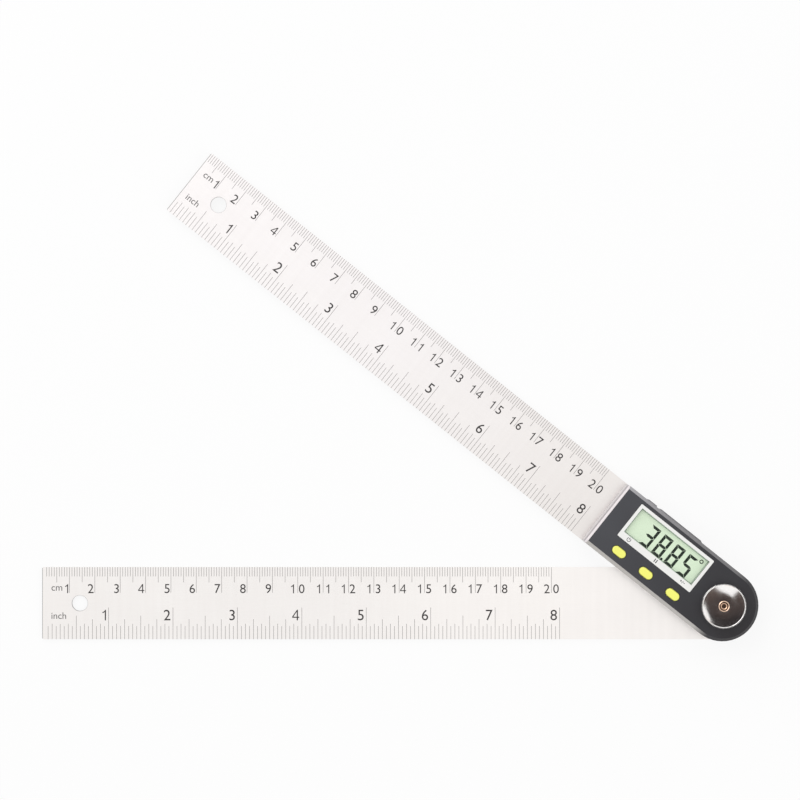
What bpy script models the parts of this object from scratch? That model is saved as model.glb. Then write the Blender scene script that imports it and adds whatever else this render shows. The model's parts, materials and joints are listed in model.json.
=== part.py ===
"""Angle finder with arms: two steel rulers on one pivot, with a display housing and a lock knob.

Metres, +Z up. The origin is on the pivot axis, on the underside of the base blade, where the flush
head of the pivot stud shows. The base arm lies along -X. The display arm lies along -X too in its own
frame, which is turned clockwise about the pivot by the rest angle. Across an arm, +Y is the side of
the centimetre scale.
"""

import math

import bmesh
import bpy

for old in list(bpy.data.objects):
    bpy.data.objects.remove(old, do_unlink=True)

parts = bpy.data.collections.new("angle_finder_with_arms")
cutters = bpy.data.collections.new("cutters")
bpy.context.scene.collection.children.link(parts)
bpy.context.scene.collection.children.link(cutters)
cutters.hide_render = True

# Driving dimensions
rest_angle = math.radians(38.5)  # between the two arms
blade_length = 0.2668  # from the tip, where both scales start, to the pivot axis
blade_width = 0.0284
blade_thickness = 0.001
cover_length = 0.0582  # from the pivot axis to the edge that lies across the blade
cover_wall = 0.0013
cover_roof = 0.0012
knob_radius = 0.0087
cell_thickness = 0.0032

# Clearances
film_gap = 0.00015  # between thin pieces that lie on each other
seat_gap = 0.0002  # between thicker pieces that lie on each other
side_gap = 0.0003  # round a piece that slides or drops in
running_gap = 0.00015  # round a shaft that turns
overrun = 0.001  # how far a cutter reaches past what it cuts

# Facets
arc_step = 7.5  # degrees between the points of an arc
turned_steps = 40
knob_steps = 96
small_turned_steps = 16
weld_distance = 0.000001
sharp_angle = math.radians(35)

# The blades
tip_corner_radius = 0.0006
hang_hole_radius = 0.0031
hang_hole_from_tip = 0.0148

# The stack, from the bench up
friction_washer_thickness = 0.0003
tray_floor = 0.0005
contact_space = 0.0005  # between the cell and the board
board_thickness = 0.0006
lcd_standoff = 0.00105  # between the board and the glass
lcd_sheet = 0.0005
window_thickness = 0.0006

friction_washer_bottom = blade_thickness + film_gap
display_blade_bottom = friction_washer_bottom + friction_washer_thickness + film_gap
display_blade_top = display_blade_bottom + blade_thickness
cover_bottom = display_blade_top + film_gap
inside_bottom = display_blade_top + seat_gap
cell_bottom = inside_bottom + tray_floor + seat_gap
cell_top = cell_bottom + cell_thickness
board_bottom = cell_top + contact_space
board_top = board_bottom + board_thickness
lcd_bottom = board_top + lcd_standoff
lcd_top = lcd_bottom + 2 * lcd_sheet
roof_bottom = lcd_top + film_gap
roof_top = roof_bottom + cover_roof

# The face of the housing, along the arm from the pivot and across it
cover_inset = 0.0001  # the blade shows this much round the foot of the cover
bevel_width = 0.0013
bevel_height = 0.0018
foot_corner_radius = 0.0009
face_corner_radius = 0.0005
bezel_edge = 0.00125  # between the bezel and the bevel
bezel_margin = 0.0014
label_strip = 0.0028  # the bezel's wider side, next to the buttons
bezel_pocket = 0.00045
bezel_corner_radius = 0.0004

cover_half = blade_width / 2 - cover_inset
cavity_half = cover_half - cover_wall

# The bosses, which set how much of the arm's length the face has
boss_radius = 0.002
boss_near = 0.0115
boss_end_inset = 0.0057  # from the cover's far edge to the middle of a boss
boss_far = cover_length - boss_end_inset
boss_across = cavity_half - boss_radius - side_gap
window_boss_gap = 0.00115
window_end_inset = 0.01005  # from the cover's far edge
window_near = boss_near + boss_radius + window_boss_gap
window_far = cover_length - window_end_inset
window_length = window_far - window_near
face_centre = (window_near + window_far) / 2

# The buttons
button_length = 0.0059
button_width = 0.0032
button_end_inset = 0.00345  # from the window's end to the middle of an outer key
button_pitch = window_length / 2 - button_end_inset
button_inset = 0.00525  # from the housing's long side to the middle of the keys
button_space = 0.003  # between the keys and the bezel
button_proud = 0.00035
button_flange = 0.0005  # how far the flange reaches past the key, all round
button_flange_thickness = 0.0006
button_travel = 0.0003
button_round = 0.00025
button_places = [
    ("power", face_centre + button_pitch),
    ("hold", face_centre),
    ("sign", face_centre - button_pitch),
]
button_across = button_inset - cover_half
flange_top = roof_bottom - seat_gap
flange_bottom = flange_top - button_flange_thickness

# The window takes what the keys, the label strip and the margins leave of the face
window_low = button_across + button_width / 2 + button_space + label_strip
window_high = cover_half - bevel_width - bezel_edge - bezel_margin
window_across = (window_low + window_high) / 2

# The screws
housing_screw_radius = 0.0008
housing_screw_head = 0.0019
housing_screw_length = 0.005
post_radius = 0.0012
post_inset = 0.0015  # from the board's edge to the middle of a post
board_screw_radius = 0.0006
board_screw_head = 0.0013
board_screw_head_height = 0.0006
screw_bore_gap = 0.0001
drive_recess_share = 0.5  # of a screw head's radius
drive_depth_share = 0.5  # of a screw head's height

# The pivot
stud_head_radius = 0.006
shoulder_radius = 0.0042
key_radius = 0.0032
key_flat = 0.0026  # from the axis to the flat
groove_radius = 0.0029
thread_radius = 0.0025
bushing_wall = 0.00125
bushing_flange = 0.0014
bushing_flange_thickness = 0.0006
friction_washer_inset = 0.0032  # from the blade's round end
friction_washer_radius = blade_width / 2 - friction_washer_inset
rotor_thickness = 0.0008
encoder_gap = 0.0003
ring_thickness = 0.0005
ring_radius = 0.0042
ring_opening = 35  # degrees on each side of the gap in the ring

# The knob
clamp_washer_thickness = 0.0004
clamp_washer_radius = 0.0053
clamp_washer_pocket = 0.0005
hub_radius = 0.0036
hub_depth = 0.0024
knob_height = 0.0026
knob_chamfer = 0.0004
knurl_depth = 0.00025
dish_depth = 0.0003
knob_web = 0.0005
dimple_radius = 0.0012
dimple_depth = 0.00035
eye_radius = 0.0021
eye_rise = 0.00015
rim_step = 0.0001

# The circuit board
board_side_gap = 0.0005
board_half = cavity_half - board_side_gap
board_ring_inset = 0.0018
board_ring_radius = board_half - board_ring_inset
board_bore_radius = 0.0047
board_neck_half = boss_across - boss_radius - side_gap
board_boss_gap = 0.0007
board_near = boss_near + boss_radius + board_boss_gap
board_far = boss_far - boss_radius - side_gap
post_across = post_inset - board_half
rotor_inset = 0.0007  # from the edge of the board's ring
rotor_radius = board_ring_radius - rotor_inset
switch_length = 0.004
switch_width = 0.003
switch_height = 0.0007
switch_nub_radius = 0.0008
switch_nub_gap = 0.00005  # left between a pressed key and its switch
chip_radius = 0.0032
chip_height = 0.00075
chip_across = 0.004

# The display glass
lcd_end_margin = 0.0005  # past the window at each end
lcd_side_margin = 0.0004
lcd_length = window_length + 2 * lcd_end_margin
lcd_breadth = window_high - window_low + 2 * lcd_side_margin
lcd_ledge = 0.0017
zebra_inset = 0.0015  # from the end of the glass
zebra_length = lcd_length - 2 * zebra_inset
zebra_width = 0.0011

# The battery drawer
tray_centre = (boss_near + boss_far) / 2
tray_side = 0.00055
cell_play = 0.00015
cell_front = 0.0009  # between the cell and the housing's long side
cell_surround = 0.0041  # of the housing's half width, the rest is the cell's radius
cell_radius = cover_half - cell_surround
cell_across = cover_half - cell_front - cell_radius
tray_wall_height = 0.0036
tray_tail = 0.0011  # how far the drawer reaches behind the cell
notch_half = 0.004
panel_thickness = 0.0006
panel_bottom_lift = 0.0001
panel_height = 0.0058
panel_bulge = 0.00045
panel_slope = 0.0009
grip_gap = 0.0011
grip_length = 0.004
grip_dip = 0.00015
bay_wall = 0.0012
bay_back_wall = 0.0009
strip_thickness = 0.0002
positive_half_length = 0.0025
positive_height = 0.0022
negative_half_width = 0.002
negative_length = 0.008
negative_thickness = 0.00012
cell_step = 0.0003
cell_face_share = 0.88  # the smaller pole, of the cell's radius


def arc(x, y, radius, start, stop):
    """Points on an arc from one angle to another, in degrees, with both ends."""
    steps = max(2, round(abs(stop - start) / arc_step))
    angles = [math.radians(start + (stop - start) * i / steps) for i in range(steps + 1)]
    return [(x + radius * math.cos(angle), y + radius * math.sin(angle)) for angle in angles]


def circle(x, y, radius):
    return arc(x, y, radius, 0, 360)[:-1]


def rounded(low_x, low_y, high_x, high_y, radius):
    """A rectangle with round corners, counter-clockwise."""
    return (
        arc(high_x - radius, low_y + radius, radius, 270, 360)
        + arc(high_x - radius, high_y - radius, radius, 0, 90)
        + arc(low_x + radius, high_y - radius, radius, 90, 180)
        + arc(low_x + radius, low_y + radius, radius, 180, 270)
    )


def stadium(x, y, length, width):
    """A slot shape with round ends, along X."""
    straight = (length - width) / 2
    return arc(x + straight, y, width / 2, -90, 90) + arc(x - straight, y, width / 2, 90, 270)


def arm_outline(length, half, corner_radius):
    """One round end about the pivot and one square end with small corners, counter-clockwise."""
    return (
        arc(0, 0, half, -90, 90)
        + arc(corner_radius - length, half - corner_radius, corner_radius, 90, 180)
        + arc(corner_radius - length, corner_radius - half, corner_radius, 180, 270)
    )


def adopt(piece, frame, collection=parts):
    """Puts a piece in its collection and under the frame of the arm that carries it."""
    for holder in list(piece.users_collection):
        holder.objects.unlink(piece)
    collection.objects.link(piece)
    piece.parent = frame
    return piece


def flat(name, frame, loops, bottom, top, collection=parts):
    """A flat piece between two heights: the first loop is its outline and the others are holes."""
    curve = bpy.data.curves.new(name, "CURVE")
    curve.dimensions = "2D"
    curve.fill_mode = "BOTH"
    curve.extrude = (top - bottom) / 2
    for loop in loops:
        spline = curve.splines.new("POLY")
        spline.points.add(len(loop) - 1)
        for point, (x, y) in zip(spline.points, loop):
            point.co = (x, y, 0, 1)
        spline.use_cyclic_u = True
    piece = bpy.data.objects.new(name, curve)
    piece.location.z = (top + bottom) / 2
    return adopt(piece, frame, collection)


def as_mesh(piece):
    """The same piece as a mesh, with its caps welded to its sides, so that it can be cut."""
    bpy.context.view_layer.update()
    graph = bpy.context.evaluated_depsgraph_get()
    mesh = bpy.data.meshes.new_from_object(piece.evaluated_get(graph))
    work = bmesh.new()
    work.from_mesh(mesh)
    bmesh.ops.remove_doubles(work, verts=work.verts, dist=weld_distance)
    work.to_mesh(mesh)
    work.free()
    name = piece.name
    holder = piece.users_collection[0]
    frame = piece.parent
    place = piece.matrix_world.copy()
    bpy.data.objects.remove(piece, do_unlink=True)
    solid = bpy.data.objects.new(name, mesh)
    adopt(solid, frame, holder)
    solid.matrix_world = place
    return solid


def turned(name, frame, profile, steps=turned_steps, closed=False, collection=parts):
    """A profile of radius and height points turned about Z. It runs from the top down its outer side."""
    mesh = bpy.data.meshes.new(name)
    edges = [(i, i + 1) for i in range(len(profile) - 1)]
    if closed:
        edges.append((len(profile) - 1, 0))
    mesh.from_pydata([(radius, 0, height) for radius, height in profile], edges, [])
    piece = bpy.data.objects.new(name, mesh)
    adopt(piece, frame, collection)
    screw = piece.modifiers.new("turn", "SCREW")
    screw.axis = "Z"
    screw.steps = steps
    screw.render_steps = steps
    screw.use_merge_vertices = True
    screw.merge_threshold = weld_distance
    screw.use_smooth_shade = True
    return piece


def washer(name, frame, inner, outer, bottom, top, steps=turned_steps):
    profile = [(outer, top), (outer, bottom), (inner, bottom), (inner, top)]
    return turned(name, frame, profile, steps, closed=True)


def block(name, frame, x_range, y_range, z_range, collection=parts):
    bpy.ops.mesh.primitive_cube_add(size=1)
    piece = bpy.context.object
    piece.name = name
    ranges = (x_range, y_range, z_range)
    for vertex in piece.data.vertices:
        vertex.co = [low + (high - low) * (value + 0.5) for value, (low, high) in zip(vertex.co, ranges)]
    return adopt(piece, frame, collection)


def rod(name, frame, x, y, radius, bottom, top, steps=small_turned_steps, collection=parts):
    bpy.ops.mesh.primitive_cylinder_add(vertices=steps, radius=radius, depth=top - bottom)
    piece = bpy.context.object
    piece.name = name
    piece.location = (x, y, (bottom + top) / 2)
    return adopt(piece, frame, collection)


def shape(piece, operation, tools):
    """Cuts hidden helper solids from a piece, or joins them to it."""
    for tool in tools:
        adopt(tool, tool.parent, cutters)
        tool.hide_render = True
        tool.display_type = "WIRE"
        step = piece.modifiers.new(tool.name, "BOOLEAN")
        step.operation = operation
        step.object = tool


def soften(piece, width, segments=1):
    bevel = piece.modifiers.new("edges", "BEVEL")
    bevel.width = width
    bevel.segments = segments
    bevel.angle_limit = sharp_angle


def smoothing():
    """Nodes that shade a solid smooth and keep the edges above the sharp angle."""
    group = bpy.data.node_groups.new("smooth_round_faces", "GeometryNodeTree")
    group.interface.new_socket("Mesh", in_out="INPUT", socket_type="NodeSocketGeometry")
    group.interface.new_socket("Mesh", in_out="OUTPUT", socket_type="NodeSocketGeometry")
    start = group.nodes.new("NodeGroupInput")
    end = group.nodes.new("NodeGroupOutput")
    angle = group.nodes.new("GeometryNodeInputMeshEdgeAngle")
    sharp = group.nodes.new("FunctionNodeCompare")
    sharp.operation = "GREATER_THAN"
    sharp.inputs["B"].default_value = sharp_angle
    faces = group.nodes.new("GeometryNodeSetShadeSmooth")
    edges = group.nodes.new("GeometryNodeSetShadeSmooth")
    edges.domain = "EDGE"
    edges.inputs["Shade Smooth"].default_value = False
    group.links.new(angle.outputs["Unsigned Angle"], sharp.inputs["A"])
    group.links.new(start.outputs[0], faces.inputs["Geometry"])
    group.links.new(faces.outputs["Geometry"], edges.inputs["Geometry"])
    group.links.new(sharp.outputs["Result"], edges.inputs["Selection"])
    group.links.new(edges.outputs["Geometry"], end.inputs[0])
    return group


smooth_round_faces = smoothing()


def finish(piece, colour, roughness, metallic=0.0):
    """Gives a piece its own material, and smooth shading where it is round."""
    material = bpy.data.materials.new(piece.name)
    material.use_nodes = True
    surface = material.node_tree.nodes["Principled BSDF"]
    surface.inputs["Base Color"].default_value = (*colour, 1)
    surface.inputs["Roughness"].default_value = roughness
    surface.inputs["Metallic"].default_value = metallic
    material.diffuse_color = (*colour, 1)
    piece.data.materials.append(material)
    if piece.type == "MESH":
        piece.modifiers.new("smooth", "NODES").node_group = smooth_round_faces
    return piece


steel = (0.78, 0.76, 0.75)
polished_steel = (0.70, 0.68, 0.66)
brass = (0.72, 0.55, 0.25)
charcoal = (0.06, 0.06, 0.065)
black = (0.02, 0.02, 0.02)
white = (0.85, 0.86, 0.84)
pale_green = (0.68, 0.87, 0.62)
yellow = (0.95, 0.92, 0.12)
board_green = (0.03, 0.22, 0.08)
gold = (0.80, 0.62, 0.28)


def empty(name, parent=None, place=(0, 0, 0), turn=0):
    frame = bpy.data.objects.new(name, None)
    frame.empty_display_size = knob_radius
    frame.location = place
    frame.rotation_euler.z = turn
    return adopt(frame, parent)


base_frame = empty("base_arm_frame")
display_frame = empty("display_arm_frame", turn=-rest_angle)
knob_frame = empty("knob_axis")
tray_frame = empty("tray_axis", display_frame, (-tray_centre, 0, 0))

housing_screw_places = [
    (-boss_far, boss_across),
    (-boss_far, -boss_across),
    (-boss_near, boss_across),
    (-boss_near, -boss_across),
]
board_screw_places = [
    (-face_centre - button_pitch / 2, post_across),
    (-face_centre + button_pitch / 2, post_across),
]


def blade(name, frame, bottom, tools):
    """A ruler with a hang hole at its tip and a round end about the pivot."""
    outline = arm_outline(blade_length, blade_width / 2, tip_corner_radius)
    hole = circle(hang_hole_from_tip - blade_length, 0, hang_hole_radius)
    ruler = as_mesh(flat(name, frame, [outline, hole], bottom, bottom + blade_thickness))
    shape(ruler, "DIFFERENCE", tools)
    return finish(ruler, steel, 0.32, 1.0)


def countersink(name, frame, x, y, bottom, head, shank, thickness):
    """A hole that widens downwards, for a flush head on the underside of a blade."""
    slope = (head - shank) / thickness
    profile = [
        (0, bottom + thickness + overrun),
        (shank, bottom + thickness + overrun),
        (shank, bottom + thickness),
        (head + slope * overrun, bottom - overrun),
        (0, bottom - overrun),
    ]
    hole = turned(name, frame, profile, small_turned_steps, collection=cutters)
    hole.location = (x, y, 0)
    return hole


# The base blade and the stud that is set flush in its underside
stud_hole = turned(
    "stud_hole",
    base_frame,
    [
        (0, blade_thickness + overrun),
        (shoulder_radius + running_gap, blade_thickness + overrun),
        (shoulder_radius + running_gap, blade_thickness),
        (stud_head_radius + running_gap, 0),
        (stud_head_radius + running_gap, -overrun),
        (0, -overrun),
    ],
    collection=cutters,
)
blade("base_blade", base_frame, 0, [stud_hole])

rotor_top = board_bottom - encoder_gap
rotor_bottom = rotor_top - rotor_thickness
shoulder_top = rotor_bottom - seat_gap
ring_bottom = rotor_top + film_gap
ring_top = ring_bottom + ring_thickness
knob_bottom = roof_top - clamp_washer_pocket + film_gap + clamp_washer_thickness + film_gap
knob_top = knob_bottom + knob_height
hub_bottom = knob_bottom - hub_depth
bore_top = knob_top - dish_depth - dimple_depth - knob_web
thread_top = bore_top - side_gap
key_top = hub_bottom - 2 * side_gap


def pivot_stud():
    profile = [
        (0, thread_top),
        (thread_radius - side_gap, thread_top),
        (thread_radius, thread_top - side_gap),
        (thread_radius, key_top),
        (key_radius, key_top),
        (key_radius, ring_top + film_gap),
        (groove_radius, ring_top + film_gap),
        (groove_radius, ring_bottom - film_gap),
        (key_radius, ring_bottom - film_gap),
        (key_radius, shoulder_top),
        (shoulder_radius, shoulder_top),
        (shoulder_radius, blade_thickness),
        (stud_head_radius, 0),
        (0, 0),
    ]
    stud = turned("pivot_stud", base_frame, profile)
    flat_cut = block(
        "key_flat_cut",
        base_frame,
        (key_flat, stud_head_radius),
        (-stud_head_radius, stud_head_radius),
        (shoulder_top, key_top + overrun),
        cutters,
    )
    shape(stud, "DIFFERENCE", [flat_cut])
    finish(stud, polished_steel, 0.3, 1.0)


def friction_washer():
    piece = washer(
        "friction_washer",
        base_frame,
        shoulder_radius + side_gap,
        friction_washer_radius,
        friction_washer_bottom,
        friction_washer_bottom + friction_washer_thickness,
    )
    finish(piece, white, 0.5)


def rotor_disc():
    """The encoder's rotor, keyed to the stud by a flat."""
    bore = key_radius + running_gap
    flat_angle = math.degrees(math.acos((key_flat + running_gap) / bore))
    loops = [circle(0, 0, rotor_radius), arc(0, 0, bore, flat_angle, 360 - flat_angle)]
    finish(flat("rotor_disc", base_frame, loops, rotor_bottom, rotor_top), board_green, 0.45)


def retaining_ring():
    """An open ring in the stud's groove."""
    inner = groove_radius + film_gap
    outline = arc(0, 0, ring_radius, ring_opening, 360 - ring_opening)
    outline += arc(0, 0, inner, 360 - ring_opening, ring_opening)
    finish(flat("retaining_ring", base_frame, [outline], ring_bottom, ring_top), polished_steel, 0.3, 1.0)


pivot_stud()
friction_washer()
rotor_disc()
retaining_ring()

# The display blade and its bush
bushing_bore = shoulder_radius + running_gap
bushing_radius = bushing_bore + bushing_wall
screw_head_hole = housing_screw_head + screw_bore_gap
screw_shank_hole = housing_screw_radius + screw_bore_gap
blade_tools = [
    rod(
        "bushing_hole",
        display_frame,
        0,
        0,
        bushing_radius + running_gap,
        display_blade_bottom - overrun,
        display_blade_top + overrun,
        turned_steps,
        cutters,
    )
]
for number, (x, y) in enumerate(housing_screw_places, 1):
    name = f"blade_countersink_{number}"
    tool = countersink(
        name, display_frame, x, y, display_blade_bottom, screw_head_hole, screw_shank_hole, blade_thickness
    )
    blade_tools.append(tool)
blade("display_blade", display_frame, display_blade_bottom, blade_tools)


def pivot_bushing():
    flange_bottom = display_blade_top + film_gap
    profile = [
        (bushing_radius + bushing_flange, flange_bottom + bushing_flange_thickness),
        (bushing_radius + bushing_flange, flange_bottom),
        (bushing_radius, flange_bottom),
        (bushing_radius, display_blade_bottom),
        (bushing_bore, display_blade_bottom),
        (bushing_bore, flange_bottom + bushing_flange_thickness),
    ]
    finish(turned("pivot_bushing", display_frame, profile, closed=True), brass, 0.35, 1.0)


def housing_screw(number, x, y):
    """A flush-headed screw from under the display blade, with a round drive recess."""
    head_top = display_blade_bottom + blade_thickness
    recess = housing_screw_head * drive_recess_share
    depth = blade_thickness * drive_depth_share
    profile = [
        (0, head_top + housing_screw_length),
        (housing_screw_radius, head_top + housing_screw_length),
        (housing_screw_radius, head_top),
        (housing_screw_head, display_blade_bottom),
        (recess, display_blade_bottom),
        (0, display_blade_bottom + depth),
    ]
    piece = turned(f"housing_screw_{number}", display_frame, profile, small_turned_steps)
    piece.location = (x, y, 0)
    finish(piece, polished_steel, 0.3, 1.0)


pivot_bushing()
for number, (x, y) in enumerate(housing_screw_places, 1):
    housing_screw(number, x, y)

# The battery drawer's sizes, which the housing is cut for
tray_half = cell_radius + cell_play + tray_side
tray_back = cell_across - cell_radius - tray_tail
panel_near = -tray_half
panel_far = tray_half + grip_gap + grip_length + panel_slope
panel_bottom = inside_bottom + panel_bottom_lift
panel_top = panel_bottom + panel_height
panel_inner = cover_half - panel_thickness
tray_wall_top = inside_bottom + tray_wall_height
bay_opening_half = tray_half + side_gap


def lofted(name, frame, sections, collection=parts):
    """A closed solid through outlines with as many points each, from the lowest up."""
    work = bmesh.new()
    outline, height = sections[0]
    floor = top = work.faces.new([work.verts.new((x, y, height)) for x, y in outline])
    for outline, height in sections[1:]:
        below = top
        made = bmesh.ops.extrude_face_region(work, geom=[below])
        top = next(item for item in made["geom"] if isinstance(item, bmesh.types.BMFace))
        for vertex, (x, y) in zip(top.verts, outline):
            vertex.co = (x, y, height)
        if below is not floor:
            bmesh.ops.delete(work, geom=[below], context="FACES_ONLY")
    bmesh.ops.recalc_face_normals(work, faces=work.faces)
    mesh = bpy.data.meshes.new(name)
    work.to_mesh(mesh)
    work.free()
    return adopt(bpy.data.objects.new(name, mesh), frame, collection)


def housing_cover():
    """The moulded shell: a bevelled roof over a cavity, with bosses, window, key holes and knob seat."""
    foot = arm_outline(cover_length, cover_half, foot_corner_radius)
    face = arm_outline(cover_length - bevel_width, cover_half - bevel_width, face_corner_radius)
    bevel_bottom = roof_top - bevel_height
    shell = lofted(
        "housing_cover", display_frame, [(foot, cover_bottom), (foot, bevel_bottom), (face, roof_top)]
    )
    inside = arm_outline(cover_length - cover_wall, cavity_half, foot_corner_radius)
    cavity = as_mesh(
        flat("cover_cavity", display_frame, [inside], cover_bottom - overrun, roof_bottom, cutters)
    )
    shape(shell, "DIFFERENCE", [cavity])

    joined = [
        rod(f"boss_{i}", display_frame, x, y, boss_radius, inside_bottom, roof_bottom + cover_roof / 2)
        for i, (x, y) in enumerate(housing_screw_places)
    ]
    joined += [
        rod(
            f"post_{i}", display_frame, x, y, post_radius, board_top + film_gap, roof_bottom + cover_roof / 2
        )
        for i, (x, y) in enumerate(board_screw_places)
    ]
    shape(shell, "UNION", joined)

    screw_top = display_blade_top + housing_screw_length + side_gap
    board_screw_top = roof_bottom - side_gap
    removed = [
        rod(f"boss_bore_{i}", display_frame, x, y, screw_shank_hole, inside_bottom - overrun, screw_top)
        for i, (x, y) in enumerate(housing_screw_places)
    ]
    removed += [
        rod(
            f"post_bore_{i}",
            display_frame,
            x,
            y,
            board_screw_radius + screw_bore_gap,
            board_top,
            board_screw_top,
        )
        for i, (x, y) in enumerate(board_screw_places)
    ]
    removed += [
        as_mesh(
            flat(
                f"key_hole_{name}",
                display_frame,
                [stadium(-place, button_across, button_length + 2 * seat_gap, button_width + 2 * seat_gap)],
                roof_bottom - overrun,
                roof_top + overrun,
            )
        )
        for name, place in button_places
    ]
    removed.append(
        block(
            "window_opening",
            display_frame,
            (-face_centre - window_length / 2, -face_centre + window_length / 2),
            (window_low, window_high),
            (roof_bottom - overrun, roof_top + overrun),
        )
    )
    removed.append(
        as_mesh(
            flat(
                "bezel_pocket",
                display_frame,
                [bezel_outline(0)],
                roof_top - bezel_pocket,
                roof_top + overrun,
            )
        )
    )
    washer_pocket = clamp_washer_radius + side_gap
    removed.append(
        rod(
            "washer_pocket",
            display_frame,
            0,
            0,
            washer_pocket,
            roof_top - clamp_washer_pocket,
            roof_top + overrun,
            turned_steps,
        )
    )
    removed.append(
        rod(
            "hub_hole",
            display_frame,
            0,
            0,
            hub_radius + side_gap,
            roof_bottom - overrun,
            roof_top + overrun,
            turned_steps,
        )
    )
    removed.append(
        block(
            "drawer_mouth",
            display_frame,
            (-tray_centre - bay_opening_half, -tray_centre + bay_opening_half),
            (cavity_half - overrun, cover_half + overrun),
            (cover_bottom - overrun, tray_wall_top + side_gap),
        )
    )
    removed.append(
        block(
            "panel_recess",
            display_frame,
            (-tray_centre - panel_far - side_gap, -tray_centre - panel_near + side_gap),
            (panel_inner - seat_gap, cover_half + overrun),
            (cover_bottom - overrun, panel_top + seat_gap),
        )
    )
    shape(shell, "DIFFERENCE", removed)
    finish(shell, charcoal, 0.45)


def bezel_outline(clearance):
    """The white plate's outline, drawn in by a clearance. Its wider strip is next to the buttons."""
    return rounded(
        -face_centre - window_length / 2 - bezel_margin + clearance,
        window_low - label_strip + clearance,
        -face_centre + window_length / 2 + bezel_margin - clearance,
        window_high + bezel_margin - clearance,
        bezel_corner_radius,
    )


def window_outline(clearance):
    """The clear opening, drawn in by a clearance."""
    return [
        (-face_centre - window_length / 2 + clearance, window_low + clearance),
        (-face_centre + window_length / 2 - clearance, window_low + clearance),
        (-face_centre + window_length / 2 - clearance, window_high - clearance),
        (-face_centre - window_length / 2 + clearance, window_high - clearance),
    ]


def display_bezel():
    bottom = roof_top - bezel_pocket + film_gap
    loops = [bezel_outline(film_gap), window_outline(0)]
    finish(flat("display_bezel", display_frame, loops, bottom, roof_top), white, 0.35)


def display_window():
    bottom = lcd_top + seat_gap
    top = bottom + window_thickness
    piece = flat("display_window", display_frame, [window_outline(film_gap)], bottom, top)
    finish(piece, white, 0.05)


def lcd_panel():
    """Two sheets of glass. The upper one is wider, and its ledge carries the contacts."""
    glass = block(
        "lcd_panel",
        display_frame,
        (-face_centre - lcd_length / 2, -face_centre + lcd_length / 2),
        (window_across - lcd_breadth / 2 - lcd_ledge, window_across + lcd_breadth / 2),
        (lcd_bottom, lcd_top),
    )
    ledge = block(
        "ledge_cut",
        display_frame,
        (-face_centre - lcd_length, -face_centre + lcd_length),
        (window_across - lcd_breadth, window_across - lcd_breadth / 2),
        (lcd_bottom - overrun, lcd_bottom + lcd_sheet),
    )
    shape(glass, "DIFFERENCE", [ledge])
    finish(glass, pale_green, 0.15)


def zebra_strip():
    high = window_across - lcd_breadth / 2 - side_gap
    piece = block(
        "zebra_strip",
        display_frame,
        (-face_centre - zebra_length / 2, -face_centre + zebra_length / 2),
        (high - zebra_width, high),
        (board_top + film_gap, lcd_bottom + lcd_sheet - film_gap),
    )
    finish(piece, black, 0.7)


housing_cover()
display_bezel()
display_window()
lcd_panel()
zebra_strip()


def main_board():
    """A ring round the pivot, which is the encoder's stator, a neck between the bosses, and the body."""
    neck_angle = math.degrees(math.asin(board_neck_half / board_ring_radius))
    outline = arc(0, 0, board_ring_radius, neck_angle - 180, 180 - neck_angle)
    outline += [
        (-board_near, board_neck_half),
        (-board_near, board_half),
        (-board_far, board_half),
        (-board_far, -board_half),
        (-board_near, -board_half),
        (-board_near, -board_neck_half),
    ]
    board = as_mesh(flat("main_board", display_frame, [outline], board_bottom, board_top))
    low = board_bottom - overrun
    high = board_top + overrun
    hole = board_screw_radius + screw_bore_gap
    removed = [rod("board_bore", display_frame, 0, 0, board_bore_radius, low, high, turned_steps)]
    removed += [
        rod(f"board_hole_{i}", display_frame, x, y, hole, low, high)
        for i, (x, y) in enumerate(board_screw_places)
    ]
    shape(board, "DIFFERENCE", removed)
    finish(board, board_green, 0.45)


def tact_switch(name, place):
    bottom = board_top + film_gap
    body = block(
        f"switch_{name}",
        display_frame,
        (-place - switch_length / 2, -place + switch_length / 2),
        (button_across - switch_width / 2, button_across + switch_width / 2),
        (bottom, bottom + switch_height),
    )
    nub_bottom = bottom + switch_height / 2
    nub_top = flange_bottom - button_travel - switch_nub_gap
    nub = rod(f"nub_{name}", display_frame, -place, button_across, switch_nub_radius, nub_bottom, nub_top)
    shape(body, "UNION", [nub])
    finish(body, polished_steel, 0.4, 1.0)


def chip_cap():
    """A low drop of black epoxy."""
    profile = [
        (chip_radius * math.sin(angle), board_top + film_gap + chip_height * math.cos(angle))
        for angle in [math.radians(arc_step * 2 * i) for i in range(7)]
    ]
    profile[0] = (0, profile[0][1])
    profile.append((0, board_top + film_gap))
    drop = turned("chip_cap", display_frame, profile, small_turned_steps)
    drop.location = (-face_centre, chip_across, 0)
    finish(drop, black, 0.4)


def board_screw(number, x, y):
    """A pan-headed screw from under the board into a post of the cover."""
    head_top = board_bottom - film_gap
    head_bottom = head_top - board_screw_head_height
    recess = board_screw_head * drive_recess_share
    profile = [
        (0, roof_bottom - 2 * side_gap),
        (board_screw_radius, roof_bottom - 2 * side_gap),
        (board_screw_radius, head_top),
        (board_screw_head, head_top),
        (board_screw_head, head_bottom),
        (recess, head_bottom),
        (0, head_bottom + board_screw_head_height * drive_depth_share),
    ]
    piece = turned(f"board_screw_{number}", display_frame, profile, small_turned_steps)
    piece.location = (x, y, 0)
    finish(piece, polished_steel, 0.3, 1.0)


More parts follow.
